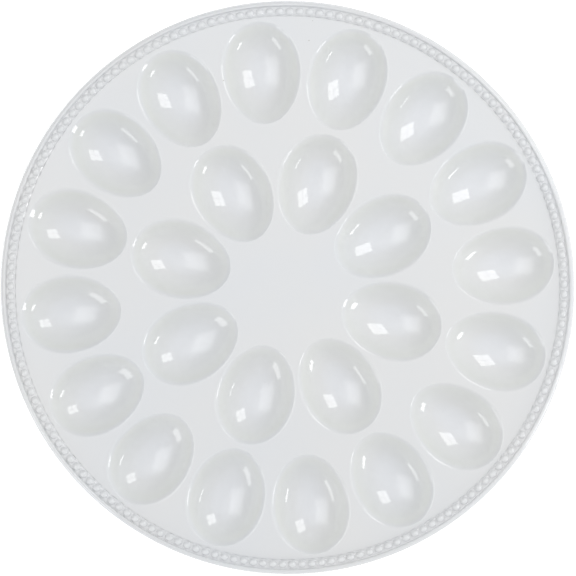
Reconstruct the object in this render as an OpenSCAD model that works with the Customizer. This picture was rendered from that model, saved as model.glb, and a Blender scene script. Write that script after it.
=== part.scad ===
// Round deviled egg platter of white glazed ceramic, fired as one casting.
// The casting is divided at its moulded features, so each feature is one node.
// Frame: origin at the middle of the foot, on the table plane, +Z up, lengths in mm.
// An outer well lies on +X; the wells repeat every 22.5 degrees outside, 45 degrees inside.

/* [Platter] */
// Outside diameter over the rolled rim
platter_d = 320; // [316:1:324]
// Thickness of the flat deck
deck_t = 5; // [4.75:0.25:6]

/* [Egg wells] */
// Length of a well's mouth, along the platter's radius
well_l = 56.5; // [54:0.25:57]
// Clay of the deck between two inner wells where they come closest
web_t = 1; // [0.9:0.1:2]
// Depth of a well below the deck
well_depth = 13.5; // [12.5:0.25:13.75]
// Clay thickness of a well's bowl
bowl_wall = 3; // [2.6:0.1:3.1]
// Clay of the deck left outside the outer row
deck_edge = 1.7; // [1.4:0.1:2.5]
// Distance from a mouth's middle out to its widest place
egg_bias = 2.2; // [1:0.1:3]
// Width of the eased edge round a mouth
ease_w = 2.4; // [1.6:0.1:2.8]
// Drop of the eased edge round a mouth
ease_h = 1.4; // [1:0.1:1.8]

/* [Rim] */
// Thickness of the rim's flange under the beads
flange_t = 3.5; // [3:0.1:4.5]
// Width of the lip between its round edge and the beads' seat
lip_flat = 0.15; // [0.1:0.05:1]
// Height of the rolled lip above the deck
lip_h = 2.2; // [1.5:0.1:3]
// Diameter of one bead
bead_d = 4.2; // [3.8:0.1:4.5]
// Height of one bead above its seat
bead_h = 1.9; // [1.5:0.1:2.2]
// Height of the beads' seat above the deck
seat_h = 0.6; // [0.4:0.1:1.2]

/* [Foot] */
// Thickness of the foot ring between the two rows of wells
foot_t = 4.4; // [3.5:0.1:4.6]
// Height of the wells' undersides above the table
foot_clear = 2; // [1:0.25:4]
// Width and height of the bevels on the foot's edges
foot_bevel = 1; // [0.5:0.1:1.4]
// Height of the strip of the foot that is left without glaze
bare_h = 1.5; // [1.5:0.25:3]

/* [Hidden] */
$fn = 96;

// Counts read off the photograph
outer_n = 16;
inner_n = 8;
beads_per_well = 11;
bead_n = outer_n * beads_per_well;

// Colours for the drawing
glaze = [0.9, 0.91, 0.91];
bare_clay = [0.87, 0.83, 0.76];

// Clay left round a well's mouth inside its own node
mouth_margin = 0.3;
// How far the foot ring reaches in under the mouths of the two rows, which are wider
// than the bowls that hang on its two sides
foot_tuck = 0.4;
row_gap = foot_t - 2 * foot_tuck;
// Deck height that keeps the wells clear of the table
deck_h = well_depth + bowl_wall + foot_clear;
// Steps round half an egg and along an eased edge
egg_steps = 20;
ease_steps = 14;
// How far past a mouth's ends its eased edge is drawn, as a share of half its length
over_share = 1.06;
// Width of the fullest mouth over its length
full_share = 0.8;

// Rim radii, from the outside in
rim_r = platter_d / 2;
roll_r = (lip_h + flange_t) / 2;
roll_steps = 12;
lip_inner_r = rim_r - roll_r - lip_flat;
seat_margin = 0.2;
seat_outer_r = lip_inner_r - seat_h;
seat_inner_r = seat_outer_r - bead_d - 2 * seat_margin;
bead_circle_r = (seat_outer_r + seat_inner_r) / 2;
deck_r = seat_inner_r - seat_h;
bead_steps = 5;

// Radii of the two rows, measured to the middle of each mouth
outer_row_r = deck_r - deck_edge - well_l / 2;
inner_row_r = outer_row_r - well_l - row_gap;

// The egg: its widest place as a share of half its length, how much fuller that
// makes its broad half, and the value there that its half width is measured by
bias_share = 2 * egg_bias / well_l;
fullness = bias_share / (1 - 2 * pow(bias_share, 2));
fullest = sqrt(1 - pow(bias_share, 2)) * (1 + fullness * bias_share);

// Border of a well's node in the deck. Its half width is what the closer row leaves
// it, or that of an egg at its fullest.
border_l = well_l / 2 + mouth_margin;
border_w = min(room_beside(inner_row_r, 180 / inner_n), room_beside(outer_row_r, 180 / outer_n),
  full_share * well_l / 2 + mouth_margin);
mouth_w = border_w - mouth_margin;

// Hollow of a well: an egg turned about its long axis, which lies above the deck
hollow_d = well_depth - ease_h;
hollow_w = mouth_w - ease_w;
hollow_r = (hollow_d * hollow_d + hollow_w * hollow_w) / (2 * hollow_d);
hollow_axis = hollow_r - well_depth;

// Height of the axis that the eased edge is turned about
ease_axis = (mouth_w * mouth_w - hollow_w * hollow_w - ease_h * ease_h) / (2 * ease_h);

// Foot ring radii, centred in the clay between the rows
foot_mid_r = inner_row_r + (well_l + row_gap) / 2;
foot_outer_r = foot_mid_r + foot_t / 2;
foot_inner_r = foot_mid_r - foot_t / 2;

// Half width of the egg, as a share of its largest, at a turn t from its broad end
function egg_share(t) = sin(t) * (1 + fullness * cos(t)) / fullest;

// Points of half an egg with half width w and half length l, broad end along +Y
function half_egg(w, l) = [for (k = [0 : egg_steps]) let(t = 180 * k / egg_steps)
  [w * egg_share(t), l * cos(t)]];

// Half width of a border that leaves the web between two wells of a row. The line
// midway between them lies at an angle to each well's own.
function room_beside(row_r, angle) = min([for (k = [1 : egg_steps - 1]) let(t = 180 * k / egg_steps)
  ((row_r + border_l * cos(t)) * sin(angle) - web_t / 2) / (egg_share(t) * cos(angle))]);

// Radius of the eased edge's section at a place u along the mouth, 1 at its broad end
function ease_r(u) = sqrt(ease_axis * ease_axis
  + mouth_w * mouth_w * (1 - u * u) * pow((1 + fullness * u) / fullest, 2));

// Points of the eased edge's section, which runs on past both ends of the mouth
function ease_points() = concat(
  [[0, over_share * well_l / 2]],
  [for (k = [0 : ease_steps]) let(u = over_share * (1 - 2 * k / ease_steps))
    [ease_r(u), u * well_l / 2]],
  [[0, -over_share * well_l / 2]]
);

// Turns half an outline about a level axis along X, at height h
module turned_level(h) {
  translate([0, 0, h]) rotate([0, 90, 0]) rotate([0, 0, -90])
    rotate_extrude() children();
}

// Border of one well in the deck, seen from above, broad end along +X
module well_border() {
  polygon([for (k = [0 : 2 * egg_steps - 1]) let(t = 180 * k / egg_steps)
    [border_l * cos(t), border_w * egg_share(t)]]);
}

// The hollow that holds the egg, with its eased edge
module well_hollow() {
  turned_level(hollow_axis) polygon(half_egg(hollow_r, well_l / 2));
  turned_level(ease_axis) polygon(ease_points());
}

// The bowl's outside below the deck, kept inside the well's border
module well_bowl() {
  intersection() {
    turned_level(hollow_axis)
      polygon(half_egg(hollow_r + bowl_wall, well_l / 2 + bowl_wall));
    translate([0, 0, -deck_t - well_depth - bowl_wall])
      linear_extrude(well_depth + bowl_wall) well_border();
  }
}

// One well: the part of the deck inside its border, and the bowl below it
module well() {
  difference() {
    union() {
      translate([0, 0, -deck_t]) linear_extrude(deck_t) well_border();
      well_bowl();
    }
    well_hollow();
  }
}

// One well of the outer row, i = 0 on +X, counted anticlockwise
module outer_well(i) {
  color(glaze) rotate([0, 0, i * 360 / outer_n])
    translate([outer_row_r, 0, deck_h]) well();
}

// One well of the inner row, in line with every other outer well
module inner_well(i) {
  color(glaze) rotate([0, 0, (i + 0.5) * 360 / inner_n])
    translate([inner_row_r, 0, deck_h]) well();
}

// Flat deck with an opening for each well
module deck() {
  color(glaze) translate([0, 0, deck_h - deck_t]) linear_extrude(deck_t) difference() {
    circle(deck_r);
    for (i = [0 : outer_n - 1])
      rotate(i * 360 / outer_n) translate([outer_row_r, 0]) well_border();
    for (i = [0 : inner_n - 1])
      rotate((i + 0.5) * 360 / inner_n) translate([inner_row_r, 0]) well_border();
  }
}

// One bead: a dome turned about an upright axis
module bead() {
  rotate_extrude() polygon(concat(
    [[0, 0]],
    [for (k = [0 : bead_steps])
      [bead_d / 2 * cos(90 * k / bead_steps), bead_h * sin(90 * k / bead_steps)]]
  ));
}

// Band round the deck that carries the beads
module bead_seat() {
  color(glaze) translate([0, 0, deck_h]) rotate_extrude() polygon([
    [deck_r, -deck_t],
    [deck_r, 0],
    [seat_inner_r, seat_h],
    [seat_outer_r, seat_h],
    [lip_inner_r, 2 * seat_h],
    [lip_inner_r, -flange_t]
  ]);
}

// The row of beads on its seat, a group of equal grains
module bead_row() {
  color(glaze) for (i = [0 : bead_n - 1])
    rotate([0, 0, (i + 0.5) * 360 / bead_n])
      translate([bead_circle_r, 0, deck_h + seat_h]) bead();
}

// Rolled lip that ends the rim
module rolled_rim() {
  color(glaze) translate([0, 0, deck_h]) rotate_extrude() polygon(concat(
    [[lip_inner_r, -flange_t], [lip_inner_r, 2 * seat_h]],
    [for (k = [0 : roll_steps])
      [rim_r - roll_r + roll_r * sin(180 * k / roll_steps),
       lip_h - roll_r + roll_r * cos(180 * k / roll_steps)]]
  ));
}

// Glazed part of the foot ring, from the deck's underside down
module foot_ring() {
  color(glaze) rotate_extrude() translate([foot_inner_r, bare_h])
    square([foot_t, deck_h - deck_t - bare_h]);
}

// Strip the platter rests on, wiped clean of glaze before firing
module bare_foot_edge() {
  color(bare_clay) rotate_extrude() polygon([
    [foot_inner_r, bare_h],
    [foot_inner_r, foot_bevel],
    [foot_inner_r + foot_bevel, 0],
    [foot_outer_r - foot_bevel, 0],
    [foot_outer_r, foot_bevel],
    [foot_outer_r, bare_h]
  ]);
}

module outer_well_01() { outer_well(0); }
module outer_well_02() { outer_well(1); }
module outer_well_03() { outer_well(2); }
module outer_well_04() { outer_well(3); }
module outer_well_05() { outer_well(4); }
module outer_well_06() { outer_well(5); }
module outer_well_07() { outer_well(6); }
module outer_well_08() { outer_well(7); }
module outer_well_09() { outer_well(8); }
module outer_well_10() { outer_well(9); }
module outer_well_11() { outer_well(10); }
module outer_well_12() { outer_well(11); }
module outer_well_13() { outer_well(12); }
module outer_well_14() { outer_well(13); }
module outer_well_15() { outer_well(14); }
module outer_well_16() { outer_well(15); }
module inner_well_01() { inner_well(0); }
module inner_well_02() { inner_well(1); }
module inner_well_03() { inner_well(2); }
module inner_well_04() { inner_well(3); }
module inner_well_05() { inner_well(4); }
module inner_well_06() { inner_well(5); }
module inner_well_07() { inner_well(6); }
module inner_well_08() { inner_well(7); }

deck();
bead_seat();
bead_row();
rolled_rim();
foot_ring();
bare_foot_edge();
outer_well_01();
outer_well_02();
outer_well_03();
outer_well_04();
outer_well_05();
outer_well_06();
outer_well_07();
outer_well_08();
outer_well_09();
outer_well_10();
outer_well_11();
outer_well_12();
outer_well_13();
outer_well_14();
outer_well_15();
outer_well_16();
inner_well_01();
inner_well_02();
inner_well_03();
inner_well_04();
inner_well_05();
inner_well_06();
inner_well_07();
inner_well_08();
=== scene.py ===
# %% [markdown]
# # Deviled egg platter, dressed in Blender
#
# The platter is one fired casting: a flat deck with 24 egg-shaped wells, a row of
# beads round the rim, a rolled lip, and a ring foot underneath. The drawing gives
# its exact solids as a frame. This lesson makes the surfaces that the eye sees:
# eased well mouths, glaze that softens every corner, oval beads and bare clay.
#
# The frame is loaded first, and its box is kept, because no surface may grow past it.

# %% Load the frame
import math
import random

import bmesh
import bpy
import numpy as np
from mathutils import Matrix, Quaternion, Vector


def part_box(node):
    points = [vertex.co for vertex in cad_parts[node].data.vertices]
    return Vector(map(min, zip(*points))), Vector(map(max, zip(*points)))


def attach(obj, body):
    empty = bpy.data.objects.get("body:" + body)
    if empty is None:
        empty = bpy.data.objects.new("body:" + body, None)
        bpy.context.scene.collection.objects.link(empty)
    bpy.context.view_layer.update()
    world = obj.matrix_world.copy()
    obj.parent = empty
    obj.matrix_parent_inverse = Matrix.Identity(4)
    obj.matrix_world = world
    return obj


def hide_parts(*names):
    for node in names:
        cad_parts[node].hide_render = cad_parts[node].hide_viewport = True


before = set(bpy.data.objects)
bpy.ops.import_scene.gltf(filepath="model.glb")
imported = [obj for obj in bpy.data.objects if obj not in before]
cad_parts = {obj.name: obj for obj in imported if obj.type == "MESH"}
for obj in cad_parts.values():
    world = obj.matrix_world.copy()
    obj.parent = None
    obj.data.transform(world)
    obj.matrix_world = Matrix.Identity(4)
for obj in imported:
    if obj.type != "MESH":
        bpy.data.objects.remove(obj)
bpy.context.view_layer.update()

# %% [markdown]
# ## Sizes
#
# Everything is in metres, in the frame's own axes: +Z up, the origin in the middle
# of the foot on the table, and the first outer well on +X. The heights and the rim's
# radius are read from the frame, so the surfaces follow it. The sizes that shape a
# well are the ones in the drawing.

# %% Sizes of the platter
MM = 0.001

deck_low, deck_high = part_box("deck")
deck_top = deck_high[2]
deck_under = deck_low[2]
deck_r = deck_high[0]
rim_low, rim_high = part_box("rolled_rim")
# The frame's rim has many flat sides, so the round surface takes its smallest reach
rim_r = min(rim_high[0], rim_high[1], -rim_low[0], -rim_low[1])
_, seat_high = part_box("bead_seat")
lip_inner_r = seat_high[0]
foot_low, foot_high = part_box("foot_ring")
foot_outer_r = foot_high[0]
bare_low, bare_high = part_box("bare_foot_edge")
_, beads_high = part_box("bead_row")

print("deck top %.4f, underside %.4f, radius %.4f" % (deck_top, deck_under, deck_r))
print("rim radius %.4f, foot radius %.4f" % (rim_r, foot_outer_r))
print("bare strip of the foot from %.4f to %.4f" % (bare_low[2], bare_high[2]))

# %% Sizes of one well
OUTER_WELLS = 16
INNER_WELLS = 8
outer_row_r = 121.25 * MM
inner_row_r = 61.15 * MM

well_depth = 13.5 * MM
bowl_wall = 3.0 * MM
ease_w = 2.4 * MM
ease_end = 1.8 * MM
ease_h = 1.4 * MM
mouth_margin = 0.3 * MM
soft_w = 3.9 * MM

# The egg: half the length and width of the mouth, how much fuller its outer end is,
# and the number that brings its widest place back to a share of 1
mouth_half_l = 28.25 * MM
mouth_half_w = 22.37 * MM
fullness = 0.0788
fullest = 1.0031

# The hollow is round across: its radius there, and its axis above the deck
hollow_d = well_depth - ease_h
hollow_half_w = mouth_half_w - ease_w
hollow_r = (hollow_d ** 2 + hollow_half_w ** 2) / (2 * hollow_d)
hollow_axis = hollow_r - well_depth

# Along it, both its ends come out where the eased edge starts, ease_end inside the
# mouth's. tip_out and tip_in are the shares of its half length at which the egg is as
# thin as its axis is high there. Both are near TIP_SHARE, which is close enough for
# the small term of the fullness.
TIP_SHARE = 0.9
thin = fullest * (hollow_r - hollow_d) / hollow_r
tip_out = math.sqrt(1 - (thin / (1 + fullness * TIP_SHARE)) ** 2)
tip_in = math.sqrt(1 - (thin / (1 - fullness * TIP_SHARE)) ** 2)
eased_half_l = mouth_half_l - ease_end
hollow_half_l = 2 * eased_half_l / (tip_out + tip_in)
hollow_middle = eased_half_l * (tip_in - tip_out) / (tip_out + tip_in)
print("hollow: radius %.1f, half length %.1f, axis %.1f mm above the deck" % (
    hollow_r / MM, hollow_half_l / MM, hollow_axis / MM))

# %% [markdown]
# ## Helpers for making a piece
#
# Each piece is a mesh written point by point, so that nothing depends on a modifier
# stack. One helper turns points and faces into an object, makes its faces look
# outward, shades it smooth except across real corners, and ties it to the frame:
# it rides on the body, and it stands for its node.

# %% Make a piece from points and faces
# Faces that meet at more than CORNER keep a sharp corner between them, and points
# within MERGE_WITHIN metres of each other become one
CORNER = math.radians(38)
MERGE_WITHIN = 1e-7


def make_piece(name, points, faces, finish, nodes):
    """One closed mesh that stands for some nodes of the frame."""
    mesh = bpy.data.meshes.new(name)
    mesh.from_pydata([tuple(p) for p in points], [], faces)
    shaped = bmesh.new()
    shaped.from_mesh(mesh)
    bmesh.ops.remove_doubles(shaped, verts=shaped.verts, dist=MERGE_WITHIN)
    bmesh.ops.recalc_face_normals(shaped, faces=shaped.faces)
    shaped.to_mesh(mesh)
    shaped.free()
    mesh.shade_smooth()
    mesh.set_sharp_from_angle(angle=CORNER)
    mesh.materials.append(finish)
    piece = bpy.data.objects.new(name, mesh)
    bpy.context.scene.collection.objects.link(piece)
    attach(piece, "root")
    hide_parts(*nodes)
    return piece


print("corners above %.0f degrees stay sharp" % math.degrees(CORNER))

# %% Turn a section about the platter's axis
ROUND_STEPS = 352


def turned(section, steps=ROUND_STEPS):
    """Points and faces of a closed section, (radius, height) pairs, turned about Z."""
    points = []
    for i in range(steps):
        a = 2 * math.pi * i / steps
        c, s = math.cos(a), math.sin(a)
        points.extend((r * c, r * s, z) for r, z in section)
    n = len(section)
    faces = []
    for i in range(steps):
        here, there = i * n, (i + 1) % steps * n
        for k in range(n):
            m = (k + 1) % n
            faces.append((here + k, there + k, there + m, here + m))
    return points, faces


def soft_corner(before, corner, after, steps=6):
    """Points of a smooth bend from one point to another, pulled towards a corner."""
    bend = []
    for i in range(steps + 1):
        t = i / steps
        u, v, w = (1 - t) ** 2, 2 * t * (1 - t), t * t
        bend.append((u * before[0] + v * corner[0] + w * after[0],
                     u * before[1] + v * corner[1] + w * after[1]))
    return bend


print("a turned piece has a point every %.1f mm of the rim" % (
    2 * math.pi * rim_r / ROUND_STEPS / MM))

# %% [markdown]
# ## The glaze
#
# A glazed white has two layers: a pale body that scatters light, and a film of
# glass on top that mirrors the room. Principled gives both: a base colour with
# some roughness, and a clear coat that stays sharp. Real glaze isn't flat. It is
# a little wavy, it pools cooler and bluer in hollows, and it has a few pinholes.
# The wells' floors are also painted lighter than the deck, as painted light
# against their shade, and their steep walls get a greener painted shade tint.
# The waves, the drift of the white and the pinholes come from noise that is read
# at a point's place on the platter, so it runs on unbroken from piece to piece.

# %% Helpers for noise and numbers
def new_finish(name):
    """An empty material with its Principled shader and node tree."""
    finish = bpy.data.materials.new(name)
    finish.use_nodes = True
    shader = finish.node_tree.nodes["Principled BSDF"]
    return finish, finish.node_tree, shader


def noise(tree, place, scale, detail=3.0, roughness=0.5):
    """Noise read at a place in metres; scale is in waves per metre."""
    node = tree.nodes.new("ShaderNodeTexNoise")
    node.inputs["Scale"].default_value = scale
    node.inputs["Detail"].default_value = detail
    node.inputs["Roughness"].default_value = roughness
    tree.links.new(place, node.inputs["Vector"])
    return node.outputs["Fac"]


def ranged(tree, value, low, high, out_low, out_high, smooth=False):
    """A value moved from one range to another, held inside it."""
    node = tree.nodes.new("ShaderNodeMapRange")
    if smooth:
        node.interpolation_type = "SMOOTHSTEP"
    for name, number in (("From Min", low), ("From Max", high),
                         ("To Min", out_low), ("To Max", out_high)):
        node.inputs[name].default_value = number
    tree.links.new(value, node.inputs["Value"])
    return node.outputs["Result"]


def sums(tree, kind, a, b):
    """Two values joined by a sum, a product or the like."""
    node = tree.nodes.new("ShaderNodeMath")
    node.operation = kind
    for socket, value in zip(node.inputs, (a, b)):
        if isinstance(value, (int, float)):
            socket.default_value = value
        else:
            tree.links.new(value, socket)
    return node.outputs[0]


print("helpers ready: new_finish, noise, ranged, sums")


# %% Helpers for colours and bumps
def blended(tree, share, first, second):
    """A colour between two colours."""
    node = tree.nodes.new("ShaderNodeMix")
    node.data_type = "RGBA"
    tree.links.new(share, node.inputs["Factor"])
    for socket, colour in ((node.inputs["A"], first), (node.inputs["B"], second)):
        if isinstance(colour, tuple):
            socket.default_value = (*colour, 1.0)
        else:
            tree.links.new(colour, socket)
    return node.outputs["Result"]


def bumped(tree, height, strength, distance, under=None):
    """A bump from a height, on top of another bump if one is given."""
    node = tree.nodes.new("ShaderNodeBump")
    node.inputs["Strength"].default_value = strength
    node.inputs["Distance"].default_value = distance
    tree.links.new(height, node.inputs["Height"])
    if under is not None:
        tree.links.new(under, node.inputs["Normal"])
    return node.outputs["Normal"]


print("helpers ready: blended, bumped")

# %% Colours of the glaze
GLAZE_WHITE = (0.772, 0.783, 0.799)
GLAZE_WARM = (0.788, 0.789, 0.790)
# Pooled glaze and painted light: the wells' floors are bluer as pooled glaze, and lighter than
# the deck as painted light that offsets their shade
GLAZE_POOLED_AND_PAINTED_LIGHT = (0.808, 0.821, 0.850)
# Painted shade: a greener tint on the steep walls of the wells, the colour of their shade
WALL_PAINTED_SHADE_TINT = (0.786, 0.797, 0.766)
PINHOLE_DARK = (0.30, 0.27, 0.22)

# Waves per metre of the slow drift between two whites, and of the clouds in the walls' painted
# shade tint
DRIFT_SCALE = 14.0
CLOUD_SCALE = 70.0

# A well's colours come in between these two depths below the deck
well_starts = 0.6 * MM
well_full = 2.5 * MM

# How level the surface is where the walls' painted shade tint and the floors' pooled
# glaze with painted light come in, with 1 for level, and how strong each gets
WALL_LEVELS = (0.55, 0.93)
FLOOR_LEVELS = (0.90, 0.99)
PAINTED_SHADE_TINT_SHARE = 0.75
POOL_AND_PAINTED_LIGHT_SHARE = 0.8


def glaze_tint(tree, spot, place):
    """White that drifts, pooled bluer and painted lighter on the wells' floors, with a painted
    shade tint on their walls.
    """
    split = tree.nodes.new("ShaderNodeSeparateXYZ")
    tree.links.new(place, split.inputs[0])
    height = split.outputs["Z"]

    drift = noise(tree, place, DRIFT_SCALE, detail=2.0)
    cloud = noise(tree, place, CLOUD_SCALE, detail=4.0, roughness=0.6)
    tint = blended(tree, ranged(tree, drift, 0.35, 0.65, 0.0, 1.0),
                   GLAZE_WHITE, GLAZE_WARM)
    # Painted shade: walls are steep between the eased edge and the floor, and get a
    # greener tint there, the colour of their shade
    lean = tree.nodes.new("ShaderNodeSeparateXYZ")
    tree.links.new(spot.outputs["Normal"], lean.inputs[0])
    wall = ranged(tree, lean.outputs["Z"], *WALL_LEVELS, PAINTED_SHADE_TINT_SHARE, 0.0)
    below = ranged(tree, height, deck_top - well_full, deck_top - well_starts, 1.0, 0.0)
    # Painted light: the floors get the pooled colour, bluer as pooled glaze and lighter than
    # the deck to offset their shade
    floor = ranged(tree, lean.outputs["Z"], *FLOOR_LEVELS, 0.0, POOL_AND_PAINTED_LIGHT_SHARE)
    floor = sums(tree, "MULTIPLY", floor, below)
    tint = blended(tree, floor, tint, GLAZE_POOLED_AND_PAINTED_LIGHT)
    wall = sums(tree, "MULTIPLY", wall, below)
    wall = sums(tree, "MULTIPLY", wall, ranged(tree, cloud, 0.3, 0.7, 0.75, 1.25))
    return blended(tree, wall, tint, WALL_PAINTED_SHADE_TINT)


# Prints how much bluer the floors' pooled colour with painted light is than the walls' painted
# shade tint
print("pooled glaze is bluer than thin glaze by %.3f" % (GLAZE_POOLED_AND_PAINTED_LIGHT[2] - WALL_PAINTED_SHADE_TINT[2]))

# %% Gloss and waves of the glaze
COAT_ROUGHNESS = 0.008
COAT_IOR = 1.65
BODY_SPECULAR = 0.1
BODY_ROUGHNESS = (0.30, 0.42)

# Pinholes: cells per metre, how far from a cell's middle its hole fades out, in
# cells, and how much of the dark shows
PINHOLE_SCALE = 34.0
PINHOLE_EDGE = (0.010, 0.016)
PINHOLE_SHADE = 0.5

# Waves per metre of the haze, the slow swell and the fine peel, and heights in metres
HAZE_SCALE = 220.0
SWELL_SCALE = 38.0
PEEL_SCALE = 420.0
SWELL_HEIGHT = 0.00022
PEEL_HEIGHT = 0.00003
PINHOLE_DEPTH = 0.00006


def pinholes(tree, place):
    """Where the few pinholes are: 1 in one and 0 outside."""
    speck = tree.nodes.new("ShaderNodeTexVoronoi")
    speck.inputs["Scale"].default_value = PINHOLE_SCALE
    tree.links.new(place, speck.inputs["Vector"])
    return ranged(tree, speck.outputs["Distance"], *PINHOLE_EDGE, 1.0, 0.0)


def glaze_gloss(tree, shader, place, pinhole):
    """The clear coat with its swell, peel and pinholes, over a duller body."""
    shader.inputs["Coat Weight"].default_value = 1.0
    shader.inputs["Coat Roughness"].default_value = COAT_ROUGHNESS
    shader.inputs["Coat IOR"].default_value = COAT_IOR
    shader.inputs["Specular IOR Level"].default_value = BODY_SPECULAR
    haze = noise(tree, place, HAZE_SCALE, detail=4.0, roughness=0.65)
    tree.links.new(ranged(tree, haze, 0.3, 0.7, *BODY_ROUGHNESS), shader.inputs["Roughness"])

    swell = bumped(tree, noise(tree, place, SWELL_SCALE, detail=1.0), 1.0, SWELL_HEIGHT)
    peel = bumped(tree, noise(tree, place, PEEL_SCALE, detail=2.0), 0.35, PEEL_HEIGHT, swell)
    pits = bumped(tree, pinhole, 0.6, -PINHOLE_DEPTH, peel)
    tree.links.new(peel, shader.inputs["Normal"])
    tree.links.new(pits, shader.inputs["Coat Normal"])


print("the coat mirrors %.1f%% of the light that falls straight on it" % (
    100 * ((COAT_IOR - 1) / (COAT_IOR + 1)) ** 2))


# %% White glaze
def white_glaze():
    """Clear gloss over white clay, pooled in the hollows, with painted light on the wells'
    floors and painted shade on their walls.
    """
    finish, tree, shader = new_finish("white_glaze")
    spot = tree.nodes.new("ShaderNodeNewGeometry")
    place = spot.outputs["Position"]
    colour = glaze_tint(tree, spot, place)
    pinhole = pinholes(tree, place)
    colour = blended(tree, sums(tree, "MULTIPLY", pinhole, PINHOLE_SHADE), colour,
                     PINHOLE_DARK)
    tree.links.new(colour, shader.inputs["Base Color"])
    glaze_gloss(tree, shader, place, pinhole)
    return finish


glaze = white_glaze()
print("glaze made with", len(glaze.node_tree.nodes), "nodes")

# %% [markdown]
# ## The bare clay
#
# The foot's edge is wiped before firing, or the platter would stick to the kiln
# shelf. What shows there is the fired clay itself: warm, dull and a little sandy,
# and greyed where it has been slid about on tables.

# %% Bare clay
CLAY_PALE = (0.74, 0.69, 0.60)
CLAY_DARK = (0.60, 0.54, 0.46)
CLAY_RUBBED = (0.48, 0.46, 0.44)
PATCH_SCALE = 90.0
GRAIN_SCALE = 2600.0
GRAIN_HEIGHT = 0.00006
CLAY_ROUGHNESS = (0.78, 0.95)
CLAY_SPECULAR = 0.3
rubbed_up_to = 0.4 * MM


def bare_clay_finish():
    """Unglazed fired clay: dull, sandy, rubbed grey on its flat."""
    finish, tree, shader = new_finish("bare_clay")
    spot = tree.nodes.new("ShaderNodeNewGeometry")
    place = spot.outputs["Position"]
    split = tree.nodes.new("ShaderNodeSeparateXYZ")
    tree.links.new(place, split.inputs[0])

    patches = noise(tree, place, PATCH_SCALE, detail=5.0, roughness=0.6)
    grains = noise(tree, place, GRAIN_SCALE, detail=3.0, roughness=0.7)
    colour = blended(tree, ranged(tree, patches, 0.35, 0.7, 0.0, 1.0),
                     CLAY_PALE, CLAY_DARK)
    rubbed = ranged(tree, split.outputs["Z"], 0.0, rubbed_up_to, 0.6, 0.0)
    rubbed = sums(tree, "MULTIPLY", rubbed, ranged(tree, patches, 0.4, 0.6, 0.2, 1.0))
    colour = blended(tree, rubbed, colour, CLAY_RUBBED)
    tree.links.new(colour, shader.inputs["Base Color"])
    dull = ranged(tree, grains, 0.3, 0.7, *CLAY_ROUGHNESS)
    tree.links.new(dull, shader.inputs["Roughness"])
    shader.inputs["Specular IOR Level"].default_value = CLAY_SPECULAR
    tree.links.new(bumped(tree, grains, 0.5, GRAIN_HEIGHT), shader.inputs["Normal"])
    return finish


bare_clay = bare_clay_finish()
print("bare clay made with", len(bare_clay.node_tree.nodes), "nodes")

# %% [markdown]
# ## One well
#
# A well is the print of an egg laid on its side. Cut an egg across anywhere and the
# section is a circle, so a hollow's floor is easy to write down: at a place x along
# the egg, its floor hangs one circle's drop below the egg's axis. The well is made
# of rings that shrink from the border to the lowest point, each ring following the
# egg's outline, so the glaze's reflections run round it as they do on the real one.
# The lip rolls over from level, and the wall bends on from there into the bowl, since
# glaze never keeps a sharp edge. The bend starts a little lower than the drawing's.

# %% The egg that shapes a hollow
SEARCH_FAR = 1.3
HALVINGS = 48


def egg_share(u):
    """Half width of an egg at a place along it, as a share of its largest."""
    return np.sqrt(np.clip(1 - u * u, 0, None)) * (1 + fullness * u) / fullest


def drop_below_deck(x, y, grow=0.0):
    """How far the egg's underside lies below the deck at a place; grow makes it bigger."""
    radius = (hollow_r + grow) * egg_share((x - hollow_middle) / (hollow_half_l + grow))
    return np.sqrt(np.clip(radius ** 2 - y * y, 0, None)) - hollow_axis


def reach(directions, inside):
    """Distance along each direction at which a test of places stops being true.

    The answer is shut in between the middle and a place past the mouth, and the gap
    is halved again and again.
    """
    near = np.zeros(len(directions))
    far = np.full(len(directions), mouth_half_l * SEARCH_FAR)
    for _ in range(HALVINGS):
        middle = (near + far) / 2
        still = inside(middle * directions[:, 0], middle * directions[:, 1])
        near = np.where(still, middle, near)
        far = np.where(still, far, middle)
    return near


def inside_egg(x, y, half_l, half_w):
    """Whether places lie inside an egg's outline."""
    u = x / half_l
    return (np.abs(u) < 1) & (np.abs(y) < half_w * egg_share(u))


places = np.linspace(-1, 1, 2001)
widest = places[np.argmax(egg_share(places))]
print("the mouth is widest %.1f mm outward of its middle" % (widest * mouth_half_l / MM))

# %% The well's border, and where the glaze leaves the drawing's hollow
RING_STEPS = 96
turns = 2 * np.pi * np.arange(RING_STEPS) / RING_STEPS
directions = np.stack([np.cos(turns), np.sin(turns)], axis=1)
border = reach(directions, lambda x, y: inside_egg(x, y, mouth_half_l + mouth_margin,
                                                   mouth_half_w + mouth_margin))
eased_from = reach(directions, lambda x, y: inside_egg(x, y, mouth_half_l - soft_w,
                                                       mouth_half_w - soft_w))
soft_drop = drop_below_deck(eased_from * directions[:, 0], eased_from * directions[:, 1])
for name, i in (("side", RING_STEPS // 4), ("outer end", 0), ("inner end", RING_STEPS // 2)):
    print("%s: the glaze rounds off the top %.1f mm of the wall" % (name, soft_drop[i] / MM))

# %% Rings of a well's upper face, from its border down to its lowest point
LIP_STEPS = 5
EASE_STEPS = 9
BOWL_STEPS = 18
LIP_SHARE = 0.8
LIP_SLOPE = 0.5


def ring(distance, height):
    """One ring of points at a distance along each direction."""
    distance = np.broadcast_to(distance, (RING_STEPS,))
    height = np.broadcast_to(height, (RING_STEPS,))
    return np.stack([distance * directions[:, 0], distance * directions[:, 1], height],
                    axis=1)


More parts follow.
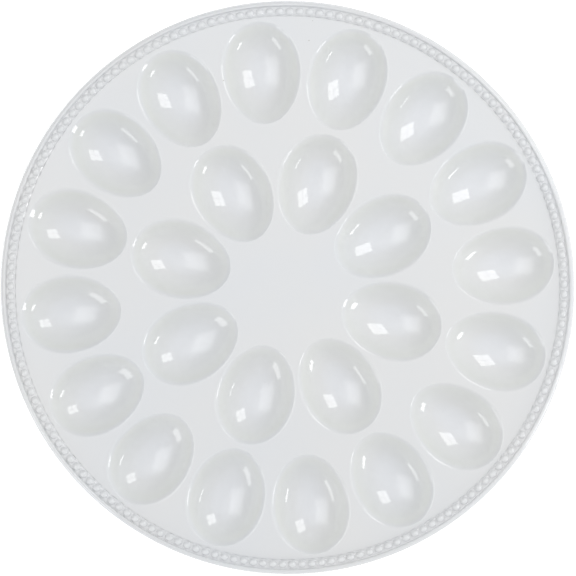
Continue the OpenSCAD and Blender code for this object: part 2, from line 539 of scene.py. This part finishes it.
def hollow_rings():
    """Rings of the upper face: border, rolled lip, eased wall and bowl."""
    step = 0.05 * MM
    deeper = drop_below_deck((eased_from - step) * directions[:, 0],
                             (eased_from - step) * directions[:, 1])
    slope = (deeper - soft_drop) / step
    # Drawn on straight, the wall would cut the deck this far inside the border, and the
    # lip rolls over evenly, from level to its own slope, on a share of that
    lip_w = LIP_SHARE * (border - eased_from - soft_drop / slope)
    lip_drop = LIP_SLOPE * lip_w / 2
    rings = [ring(border, 0.0)]
    for i in range(1, LIP_STEPS + 1):
        t = i / LIP_STEPS
        rings.append(ring(border - t * lip_w, -t * t * lip_drop))
    # The wall bends on from there, pulled to where the lip's slope and the bowl's slope cross
    wide = border - lip_w - eased_from
    fall = soft_drop - lip_drop
    pull = (slope * wide - fall) / (slope - LIP_SLOPE)
    for i in range(1, EASE_STEPS + 1):
        t = i / EASE_STEPS
        v, w = 2 * t * (1 - t), t * t
        rings.append(ring(border - lip_w - v * pull - w * wide,
                          -lip_drop - v * LIP_SLOPE * pull - w * fall))
    for i in range(1, BOWL_STEPS):
        away = eased_from * math.sin(math.pi / 2 * (1 - i / BOWL_STEPS))
        depth = drop_below_deck(away * directions[:, 0], away * directions[:, 1])
        rings.append(ring(away, -depth))
    return rings


print(len(hollow_rings()), "rings on the upper face of a well")

# %% Rings of a well's lower face, from under the deck to under its lowest point
CORNER_STEPS = 4
UNDER_STEPS = 12
corner_pull = 0.25 * MM
under_start = 1.7 * MM
under_shrink = 0.9 * MM


def underside_rings():
    """Rings of the lower face: a soft inner corner, then the bowl's outside."""
    deck_t = deck_top - deck_under
    start = reach(directions, lambda x, y: drop_below_deck(x, y, bowl_wall)
                  > deck_t + under_start) - under_shrink
    rings = [ring(border, -deck_t)]
    for i in range(1, CORNER_STEPS + 1):
        t = i / CORNER_STEPS
        u, v, w = (1 - t) ** 2, 2 * t * (1 - t), t * t
        rings.append(ring(u * border + v * (start + corner_pull) + w * start,
                          -deck_t - w * under_start))
    for i in range(1, UNDER_STEPS):
        share = math.sin(math.pi / 2 * (1 - i / UNDER_STEPS))
        away = start * share
        outside = away + under_shrink * share ** 3
        depth = drop_below_deck(outside * directions[:, 0], outside * directions[:, 1],
                                bowl_wall)
        rings.append(ring(away, -depth))
    return rings


print(len(underside_rings()), "rings on the lower face of a well")

# %% Points and faces of one well, lying at the origin with its deck at height 0
def well_mesh():
    """One well as a closed mesh."""
    top, under = hollow_rings(), underside_rings()
    points = np.concatenate(top + [[[0, 0, -well_depth]]] + under
                            + [[[0, 0, -well_depth - bowl_wall]]])
    n = RING_STEPS
    faces = []

    def strip(a, b):
        for j in range(n):
            k = (j + 1) % n
            faces.append((a * n + j, a * n + k, b * n + k, b * n + j))

    for i in range(len(top) - 1):
        strip(i, i + 1)
    low = len(top) * n
    last = (len(top) - 1) * n
    faces.extend((last + j, last + (j + 1) % n, low) for j in range(n))

    base = low + 1
    for i in range(len(under) - 1):
        for j in range(n):
            k = (j + 1) % n
            a, b = base + i * n, base + (i + 1) * n
            faces.append((a + k, a + j, b + j, b + k))
    last = base + (len(under) - 1) * n
    lowest = base + len(under) * n
    faces.extend((last + (j + 1) % n, last + j, lowest) for j in range(n))
    faces.extend((j, base + j, base + (j + 1) % n, (j + 1) % n) for j in range(n))
    return points, faces


well_points, well_faces = well_mesh()
print("one well:", len(well_points), "points,", len(well_faces), "faces")

# %% [markdown]
# ## Setting out the wells
#
# Sixteen wells lie in the outer row and eight in the inner one, all pointing at the
# centre with their narrow ends. Every other outer well is in line with an inner one.
# The same well is turned and shifted to each place, as one mould tool would press it.

# %% Set out the wells
well_places = []
for i in range(OUTER_WELLS):
    well_places.append(("outer_well_%02d" % (i + 1), outer_row_r,
                        2 * math.pi * i / OUTER_WELLS))
for i in range(INNER_WELLS):
    well_places.append(("inner_well_%02d" % (i + 1), inner_row_r,
                        2 * math.pi * (i + 0.5) / INNER_WELLS))


def set_out(points, row_r, turn):
    """Points of a well moved out to its row and turned to its place."""
    c, s = math.cos(turn), math.sin(turn)
    x = points[:, 0] + row_r
    y = points[:, 1]
    return np.stack([c * x - s * y, s * x + c * y, points[:, 2] + deck_top], axis=1)


for node, row_r, turn in well_places:
    make_piece("glazed_" + node, set_out(well_points, row_r, turn), well_faces,
               glaze, [node])
print(len(well_places), "wells set out")

# %% [markdown]
# ## The deck
#
# Between the wells the deck is flat, so it needs no grid: its outline and the
# borders of the wells are drawn as closed loops, and the space between them is
# filled. The loops use the wells' own border points, so the two surfaces meet
# point to point and the seam can't be seen.

# %% Make the deck
def deck_mesh():
    """The deck as two filled faces with holes, and the walls between them."""
    loops = []
    around = 2 * np.pi * np.arange(ROUND_STEPS) / ROUND_STEPS
    loops.append(np.stack([deck_r * np.cos(around), deck_r * np.sin(around)], axis=1))
    edge = ring(border, 0.0)
    for _, row_r, turn in well_places:
        loops.append(set_out(edge, row_r, turn)[:, :2])

    sheet = bmesh.new()
    edges = []
    for loop in loops:
        corners = [sheet.verts.new((x, y, deck_top)) for x, y in loop]
        edges.extend(sheet.edges.new(pair)
                     for pair in zip(corners, corners[1:] + corners[:1]))
    bmesh.ops.triangle_fill(sheet, edges=edges, use_beauty=True, use_dissolve=False,
                            normal=(0, 0, 1))
    sheet.verts.index_update()
    flat = [tuple(v.co) for v in sheet.verts]
    filled = [tuple(v.index for v in f.verts) for f in sheet.faces]
    rims = [(e.verts[0].index, e.verts[1].index) for e in sheet.edges if e.is_boundary]
    sheet.free()

    n = len(flat)
    points = flat + [(x, y, deck_under) for x, y, _ in flat]
    faces = filled + [tuple(n + i for i in reversed(f)) for f in filled]
    faces += [(a, b, n + b, n + a) for a, b in rims]
    return points, faces


deck_points, deck_faces = deck_mesh()
make_piece("glazed_deck", deck_points, deck_faces, glaze, ["deck"])
print("deck:", len(deck_faces), "faces")

# %% [markdown]
# ## The rim
#
# The rim is turned, like the profile that a potter's template scrapes: a fine
# groove, a shallow seat for the beads, a second groove, and the rolled lip. Every
# corner of the section is a bend, because glaze fills inner corners and thins over
# outer ones.

# %% Turn the bead seat
# Heights of the rim's section, in mm above the deck, from its bottom to its top
FLANGE_Z = -3.5
GROOVE_Z = -0.22
RISE_Z = 0.30
FALL_Z = 0.42
SEAT_Z = 0.58
ROLL_FOOT_Z = 1.2
ROLL_TOP_Z = 2.2
flange_under = deck_top + FLANGE_Z * MM


def at(r, z):
    """A point of the rim's section: a radius, and a height in mm above the deck."""
    return (r, deck_top + z * MM)


def seat_section():
    """Section of the band under the beads."""
    groove_r = deck_r + 0.55 * MM
    in_r = deck_r + 1.15 * MM
    out_r = lip_inner_r - 0.75 * MM
    into_groove = soft_corner(at(deck_r + 0.02 * MM, 0), at(groove_r - 0.15 * MM, 0),
                              at(groove_r, GROOVE_Z), 4)
    out_of_groove = soft_corner(at(groove_r, GROOVE_Z), at(groove_r + 0.15 * MM, -0.3),
                                at(in_r, RISE_Z), 5)
    onto_seat = soft_corner(at(in_r, RISE_Z), at(in_r + 0.25 * MM, SEAT_Z),
                            at(in_r + 0.8 * MM, SEAT_Z), 4)
    off_seat = soft_corner(at(out_r - 0.8 * MM, SEAT_Z), at(out_r - 0.1 * MM, SEAT_Z),
                           at(out_r + 0.2 * MM, FALL_Z), 4)
    up_to_lip = soft_corner(at(out_r + 0.2 * MM, FALL_Z), at(out_r + 0.55 * MM, 0.3),
                            at(lip_inner_r, ROLL_FOOT_Z), 5)
    return ([(deck_r, deck_under), at(deck_r, 0)] + into_groove + out_of_groove[1:]
            + onto_seat[1:] + off_seat + up_to_lip[1:] + [(lip_inner_r, flange_under)])


seat_points, seat_faces = turned(seat_section())
make_piece("glazed_bead_seat", seat_points, seat_faces, glaze, ["bead_seat"])
print("bead seat turned:", len(seat_faces), "faces")

# %% Turn the rolled lip
ROLL_START = math.radians(72)
ROLL_STEPS = 28


def lip_section():
    """Section of the rolled lip: a half round on the flange."""
    roll = (ROLL_TOP_Z - FLANGE_Z) / 2 * MM
    centre_r = rim_r - roll
    centre_z = deck_top + ROLL_TOP_Z * MM - roll
    section = [(lip_inner_r, flange_under), at(lip_inner_r, ROLL_FOOT_Z)]
    crown = (centre_r + roll * math.cos(ROLL_START), centre_z + roll * math.sin(ROLL_START))
    section += soft_corner(at(lip_inner_r, ROLL_FOOT_Z), at(lip_inner_r + 0.12 * MM, 2.18),
                           crown, 8)[1:]
    for i in range(1, ROLL_STEPS + 1):
        a = ROLL_START - (ROLL_START + math.pi / 2) * i / ROLL_STEPS
        section.append((centre_r + roll * math.cos(a), centre_z + roll * math.sin(a)))
    return section


lip_points, lip_faces = turned(lip_section())
make_piece("glazed_rolled_rim", lip_points, lip_faces, glaze, ["rolled_rim"])
print("rolled lip turned:", len(lip_faces), "faces")

# %% [markdown]
# ## The beads
#
# Eleven beads go with each outer well, 176 in all. Each is an oval grain, longer
# along the rim than across it, and its foot flares where glaze has run into the
# corner. A bead is a dome of rings over an oval, and its size and place vary by a
# few hundredths of a millimetre, as pressed beads do.

# %% Shape of a bead
BEADS = 11 * OUTER_WELLS
BEAD_SIDES = 20
seat_top = deck_top + 0.6 * MM
drawn_half = 2.1 * MM
bead_half_l = 2.25 * MM
bead_half_w = 1.95 * MM
bead_root = 0.1 * MM
bead_h = beads_high[2] - seat_top
bead_circle_r = beads_high[0] - drawn_half

# A dome's rings climb from DOME_LOW by DOME_RISE, in degrees round its quarter circle
DOME_RINGS = 7
DOME_LOW = 14
DOME_RISE = 68

# How much the beads differ: in turn (radians), size (share), place (mm), height (share)
TURN_SPREAD = 0.0003
SIZE_SPREAD = 0.012
PLACE_SPREAD = 0.03
HEIGHT_SPREAD = 0.015


def bead_rings():
    """Share of the half width and share of the height for each ring of a dome."""
    foot = [(1.17, -0.02), (1.08, 0.035), (1.02, 0.11)]
    dome = []
    for i in range(DOME_RINGS):
        a = math.radians(DOME_LOW + DOME_RISE * i / (DOME_RINGS - 1))
        dome.append((math.cos(a), math.sin(a)))
    return foot + dome


print(len(bead_rings()), "rings in a bead,", "%.2f mm high" % (bead_h / MM))


# %% Make the beads
def beads_mesh():
    """All the beads, each a dome over an oval."""
    rng = random.Random(11)
    rings = bead_rings()
    points, faces = [], []
    for i in range(BEADS):
        turn = 2 * math.pi * (i + 0.5) / BEADS + rng.gauss(0, TURN_SPREAD)
        c, s = math.cos(turn), math.sin(turn)
        size = 1 + rng.gauss(0, SIZE_SPREAD)
        away = bead_circle_r + rng.gauss(0, PLACE_SPREAD) * MM
        tall = bead_h * (1 - abs(rng.gauss(0, HEIGHT_SPREAD)))
        base = len(points)
        for wide, high in rings:
            for j in range(BEAD_SIDES):
                a = 2 * math.pi * j / BEAD_SIDES
                x = away + bead_half_w * size * wide * math.cos(a)
                y = bead_half_l * size * wide * math.sin(a)
                points.append((c * x - s * y, s * x + c * y, seat_top + tall * high))
        points.append((c * away, s * away, seat_top + tall))
        points.append((c * away, s * away, seat_top - bead_root))
        crown, under = len(points) - 2, len(points) - 1
        for k in range(len(rings) - 1):
            for j in range(BEAD_SIDES):
                m = (j + 1) % BEAD_SIDES
                a, b = base + k * BEAD_SIDES, base + (k + 1) * BEAD_SIDES
                faces.append((a + j, a + m, b + m, b + j))
        last = base + (len(rings) - 1) * BEAD_SIDES
        for j in range(BEAD_SIDES):
            m = (j + 1) % BEAD_SIDES
            faces.append((last + j, last + m, crown))
            faces.append((base + m, base + j, under))
    return points, faces


bead_points, bead_faces = beads_mesh()
make_piece("glazed_bead_row", bead_points, bead_faces, glaze, ["bead_row"])
print(BEADS, "beads,", len(bead_faces), "faces")

# %% [markdown]
# ## The foot
#
# The foot ring stands between the two rows of wells. Its glaze stops a little above
# the table in a rounded edge, and below it is the bare clay that carries the
# platter. The clay is turned with worn corners.

# %% Turn the foot
foot_w = 4.4 * MM
foot_inner_r = foot_outer_r - foot_w
glaze_line = foot_low[2]

# The glazed foot: its rounded edge, and the soft corner inside, under the deck
edge_tuck = 0.25 * MM
edge_high = 0.5 * MM
corner_high = 2.2 * MM
corner_wide = 1.6 * MM

# The bare strip stands in a little from the glaze, and has a bevel on each side
bare_tuck = 0.3 * MM
bevel_high = 0.9 * MM
bevel_pull = 0.1 * MM
bevel_wide = 1.0 * MM


def foot_section():
    """Section of the glazed foot, with a soft corner inside where it joins the deck."""
    section = [(foot_inner_r + edge_tuck, glaze_line)]
    section += soft_corner((foot_inner_r + edge_tuck, glaze_line),
                           (foot_inner_r, glaze_line),
                           (foot_inner_r, glaze_line + edge_high), 4)[1:]
    section += soft_corner((foot_inner_r, deck_under - corner_high),
                           (foot_inner_r, deck_under),
                           (foot_inner_r - corner_wide, deck_under), 6)
    section += [(foot_outer_r, deck_under)]
    section += soft_corner((foot_outer_r, glaze_line + edge_high),
                           (foot_outer_r, glaze_line),
                           (foot_outer_r - edge_tuck, glaze_line), 4)
    return section


def bare_section():
    """Section of the bare strip: a worn flat between two rounded bevels."""
    inner, outer = foot_inner_r + bare_tuck, foot_outer_r - bare_tuck
    section = [(outer, glaze_line), (inner, glaze_line)]
    section += soft_corner((inner, bevel_high), (inner + bevel_pull, 0),
                           (inner + bevel_wide, 0), 6)
    section += soft_corner((outer - bevel_wide, 0), (outer - bevel_pull, 0),
                           (outer, bevel_high), 6)
    return section


foot_points, foot_faces = turned(foot_section())
make_piece("glazed_foot_ring", foot_points, foot_faces, glaze, ["foot_ring"])
bare_points, bare_faces = turned(bare_section())
make_piece("bare_foot_strip", bare_points, bare_faces, bare_clay, ["bare_foot_edge"])
print("foot turned:", len(foot_faces) + len(bare_faces), "faces")

# %% [markdown]
# ## The table
#
# The platter stands on a plain white table. The camera and the glaze see it as pure
# white where nothing shades it, and it keeps the platter's soft shadow.

# %% White board
TABLE_PALE = (0.95, 0.95, 0.95)
TABLE_DARK = (0.93, 0.93, 0.93)
TABLE_GLOW = 0.35


def table_finish():
    """White board that keeps a shadow."""
    finish, tree, shader = new_finish("table_white")
    spot = tree.nodes.new("ShaderNodeNewGeometry")
    grain = noise(tree, spot.outputs["Position"], 6.0, detail=2.0)
    colour = blended(tree, grain, TABLE_DARK, TABLE_PALE)
    tree.links.new(colour, shader.inputs["Base Color"])
    shader.inputs["Roughness"].default_value = 0.9
    shader.inputs["Specular IOR Level"].default_value = 0.1
    paths = tree.nodes.new("ShaderNodeLightPath")
    seen = sums(tree, "MAXIMUM", paths.outputs["Is Camera Ray"],
                paths.outputs["Is Glossy Ray"])
    seen = sums(tree, "MAXIMUM", seen, paths.outputs["Is Transmission Ray"])
    shader.inputs["Emission Color"].default_value = (1, 1, 1, 1)
    glow = sums(tree, "MULTIPLY", seen, TABLE_GLOW)
    tree.links.new(glow, shader.inputs["Emission Strength"])
    return finish


board = table_finish()
print("board made with", len(board.node_tree.nodes), "nodes")

# %% Lay the table
TABLE_STEPS = 24
TABLE_HALF = 1.6


def lay_table():
    """A broad flat sheet under the foot."""
    sheet = bpy.data.meshes.new("table")
    steps = TABLE_STEPS
    points, faces = [], []
    for i in range(steps + 1):
        for j in range(steps + 1):
            x = TABLE_HALF * (2 * i / steps - 1)
            y = TABLE_HALF * (2 * j / steps - 1)
            points.append((x, y, 0.0))
    for i in range(steps):
        for j in range(steps):
            a = i * (steps + 1) + j
            faces.append((a, a + steps + 1, a + steps + 2, a + 1))
    sheet.from_pydata(points, [], faces)
    sheet.materials.append(board)
    table = bpy.data.objects.new("table", sheet)
    bpy.context.scene.collection.objects.link(table)
    return table


lay_table()
print("table laid, %.1f m square" % (2 * TABLE_HALF))

# %% [markdown]
# ## The camera
#
# The photograph looks down from almost straight above, and the platter fills the
# frame. Its wells, set against the drawing, give the place: 0.9 m up, a little to
# the right and towards the top, and turned so that the first outer well lies a
# little above the middle of the frame's right-hand side.

# %% Set the camera
camera_data = bpy.data.cameras.new("overhead")
camera = bpy.data.objects.new("overhead", camera_data)
bpy.context.scene.collection.objects.link(camera)
bpy.context.scene.camera = camera

camera_place = Vector((0.0311, 0.0414, 0.9))
camera_aim = Vector((0.00117, 0.00102, deck_top))
camera_roll = math.radians(-6.43)
pixels_per_metre = 1795.0
FRAME_PIXELS = 576
SENSOR_MM = 36.0

look = (camera_aim - camera_place).normalized()
upward = Vector((-math.sin(camera_roll), math.cos(camera_roll), 0))
right = look.cross(upward).normalized()
upward = right.cross(look)
camera.location = camera_place
camera.rotation_euler = Matrix((right, upward, -look)).transposed().to_euler()
camera_data.sensor_width = SENSOR_MM
camera_distance = (camera_aim - camera_place).length
camera_data.lens = SENSOR_MM * camera_distance * pixels_per_metre / FRAME_PIXELS
camera_data.clip_start = 0.01
camera_data.dof.use_dof = False
print("lens %.1f mm" % camera_data.lens)

# %% [markdown]
# ## The light
#
# Each well is a small concave mirror, so it shows where the lamps stood. A sharp
# bright pane low on the left of every well is a window, off to the upper right. A
# soft glow right of the middle is a lit patch of ceiling, to the left of the camera.
# Small glints on the walls are two lower lamps. The pale room does most of the
# lighting. It is brighter to the right and towards the bottom of the picture, since
# the walls that face those ways are the brighter ones in the photograph.

# %% Helpers for lamps
def toward(side, lift):
    """A direction; side is where it lies in the picture, 0 right and 90 up, in degrees."""
    turn, rise = math.radians(side), math.radians(lift)
    flat_right = Vector((math.cos(camera_roll), math.sin(camera_roll), 0))
    flat_up = Vector((-math.sin(camera_roll), math.cos(camera_roll), 0))
    level = flat_right * math.cos(turn) + flat_up * math.sin(turn)
    return level * math.cos(rise) + Vector((0, 0, math.sin(rise)))


def facing(place, aim, twist=0.0):
    """The turn that faces a lamp from one place to another, twisted about its own beam."""
    return (aim - place).to_track_quat("-Z", "Y") @ Quaternion((0, 0, 1), math.radians(twist))


def lamp(name, place, turn, size, brightness):
    """A rectangular lamp at a place; a brightness of pi is that of a sheet lit white."""
    data = bpy.data.lights.new(name, "AREA")
    data.shape = "RECTANGLE"
    data.size, data.size_y = size
    data.energy = brightness * size[0] * size[1]
    source = bpy.data.objects.new(name, data)
    source.location = place
    source.rotation_euler = turn.to_euler()
    bpy.context.scene.collection.objects.link(source)
    return source


print("right in the picture is", tuple(round(v, 3) for v in toward(0, 0)), "in the frame")

# %% Set the window and the two low lamps
platter_middle = Vector((0, 0, deck_top))
WINDOW_BAR = 0.01


def hang_window(side, lift, away, size, brightness, twist):
    """A window of two by two panes with bars between them."""
    middle = platter_middle + toward(side, lift) * away
    turn = facing(middle, platter_middle, twist)
    across, upright = turn @ Vector((1, 0, 0)), turn @ Vector((0, 1, 0))
    pane = ((size[0] - WINDOW_BAR) / 2, (size[1] - WINDOW_BAR) / 2)
    for i in (-0.5, 0.5):
        for j in (-0.5, 0.5):
            shift = (across * i * (pane[0] + WINDOW_BAR)
                     + upright * j * (pane[1] + WINDOW_BAR))
            lamp("window_pane", middle + shift, turn, pane, brightness)


def low_lamp(name, side, lift, away, size, brightness):
    """A lamp that stands off to one side of the platter and faces it."""
    place = platter_middle + toward(side, lift) * away
    lamp(name, place, facing(place, platter_middle), size, brightness)


hang_window(side=35, lift=45, away=1.0, size=(0.44, 0.48), brightness=9.7, twist=-20)
low_lamp("low_lamp_right", side=-27, lift=9, away=1.0, size=(0.30, 0.22), brightness=15.0)
low_lamp("low_lamp_left", side=-141, lift=11.5, away=1.4, size=(0.66, 0.52), brightness=7.0)
print("lamps set:", len(bpy.data.lights))

# %% Helpers for the room
def along(tree, way, direction):
    """How nearly a way lies along a direction: 1 along it, 0 square to it."""
    node = tree.nodes.new("ShaderNodeVectorMath")
    node.operation = "DOT_PRODUCT"
    node.inputs[1].default_value = direction
    tree.links.new(way, node.inputs[0])
    return node.outputs["Value"]


def soft_patch(tree, way, middle, half_size, soft):
    """A soft-edged rectangle on the sky, 1 inside and 0 outside; sizes are sines of angles."""
    across = middle.cross(Vector((0, 0, 1))).normalized()
    upright = across.cross(middle)
    # The tests below hold on the opposite side of the sky too, so that side is left out
    share = ranged(tree, along(tree, way, middle), 0.0, 0.1, 0.0, 1.0)
    for direction, half in zip((across, upright), half_size):
        off = sums(tree, "ABSOLUTE", along(tree, way, direction), 0.0)
        inside = ranged(tree, off, half - soft, half + soft, 1.0, 0.0, smooth=True)
        share = sums(tree, "MULTIPLY", share, inside)
    return share


print("helpers ready: along, soft_patch")

# %% The room
ROOM_HIGH = (1.0, 1.0, 1.0)
ROOM_LOW = (0.93, 0.97, 1.0)

# Strength of the room from level up to overhead, and what each part adds at its middle
ROOM_LEVELS = (0.34, 0.37)
RIGHT_LEVEL = 0.44
NEAR_LEVEL = 0.30
HAZE_LEVEL = 0.45
PATCH_LEVEL = 1.3

right_middle = toward(25, 5)
near_middle = toward(290, 30)
haze_middle = toward(145, 68)
haze_edge = math.cos(math.radians(34))
patch_middle = toward(178, 57)
patch_half_size = (0.37, 0.31)
PATCH_SOFT = 0.13


def pale_room():
    """A pale room, brighter on two sides, with a haze overhead and a lit patch of ceiling."""
    world = bpy.data.worlds.new("room")
    world.use_nodes = True
    tree = world.node_tree
    background = tree.nodes["Background"]
    spot = tree.nodes.new("ShaderNodeTexCoord")
    way = spot.outputs["Generated"]
    split = tree.nodes.new("ShaderNodeSeparateXYZ")
    tree.links.new(way, split.inputs[0])
    high = ranged(tree, split.outputs["Z"], 0.0, 1.0, 0.0, 1.0)
    tree.links.new(blended(tree, high, ROOM_LOW, ROOM_HIGH), background.inputs["Color"])
    overhead = ranged(tree, split.outputs["Z"], 0.0, 0.95, *ROOM_LEVELS)
    right_side = ranged(tree, along(tree, way, right_middle), 0.0, 1.0, 0.0, RIGHT_LEVEL)
    near_side = ranged(tree, along(tree, way, near_middle), 0.0, 1.0, 0.0, NEAR_LEVEL)
    sides = sums(tree, "ADD", right_side, near_side)
    haze = ranged(tree, along(tree, way, haze_middle), haze_edge, 1.0, 0.0, HAZE_LEVEL,
                  smooth=True)
    patch = soft_patch(tree, way, patch_middle, patch_half_size, PATCH_SOFT)
    glow = sums(tree, "ADD", haze, sums(tree, "MULTIPLY", patch, PATCH_LEVEL))
    strength = sums(tree, "ADD", sums(tree, "ADD", overhead, sides), glow)
    tree.links.new(strength, background.inputs["Strength"])
    return world


bpy.context.scene.world = pale_room()
bpy.context.scene.view_settings.view_transform = "Standard"
print("room lit, with a patch of ceiling at %.1f" % PATCH_LEVEL)
